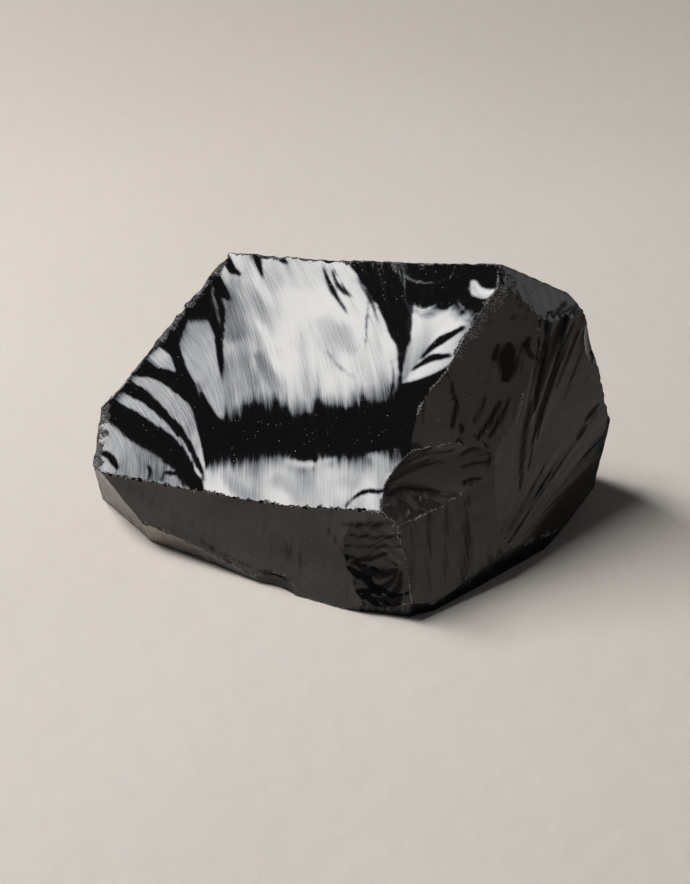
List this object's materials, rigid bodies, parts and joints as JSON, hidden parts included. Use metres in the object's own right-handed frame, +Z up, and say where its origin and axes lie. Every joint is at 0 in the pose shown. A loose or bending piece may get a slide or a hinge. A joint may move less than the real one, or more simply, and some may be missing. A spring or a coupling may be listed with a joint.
{
  "type": "obsidian chunk",
  "caption": "Hand-size broken block of black volcanic glass with broad curved fracture faces, sharp chipped edges and a flat base.",
  "frame": {"origin": "middle of the footprint box, on the flat base the stone rests on", "axes": "+Z up; +X along the stone's longest side; -Y towards the two steep front faces, with the large sloping face above the left one"},
  "size_m": [0.098, 0.0714, 0.0518],
  "materials": {
    "volcanic_glass": "glossy black natural glass, mirror-bright on fresh fracture faces, dull grey where edges are crushed"
  },
  "bodies": {
    "root": {"obsidian_chunk": "volcanic_glass"}
  },
  "joints": []
}
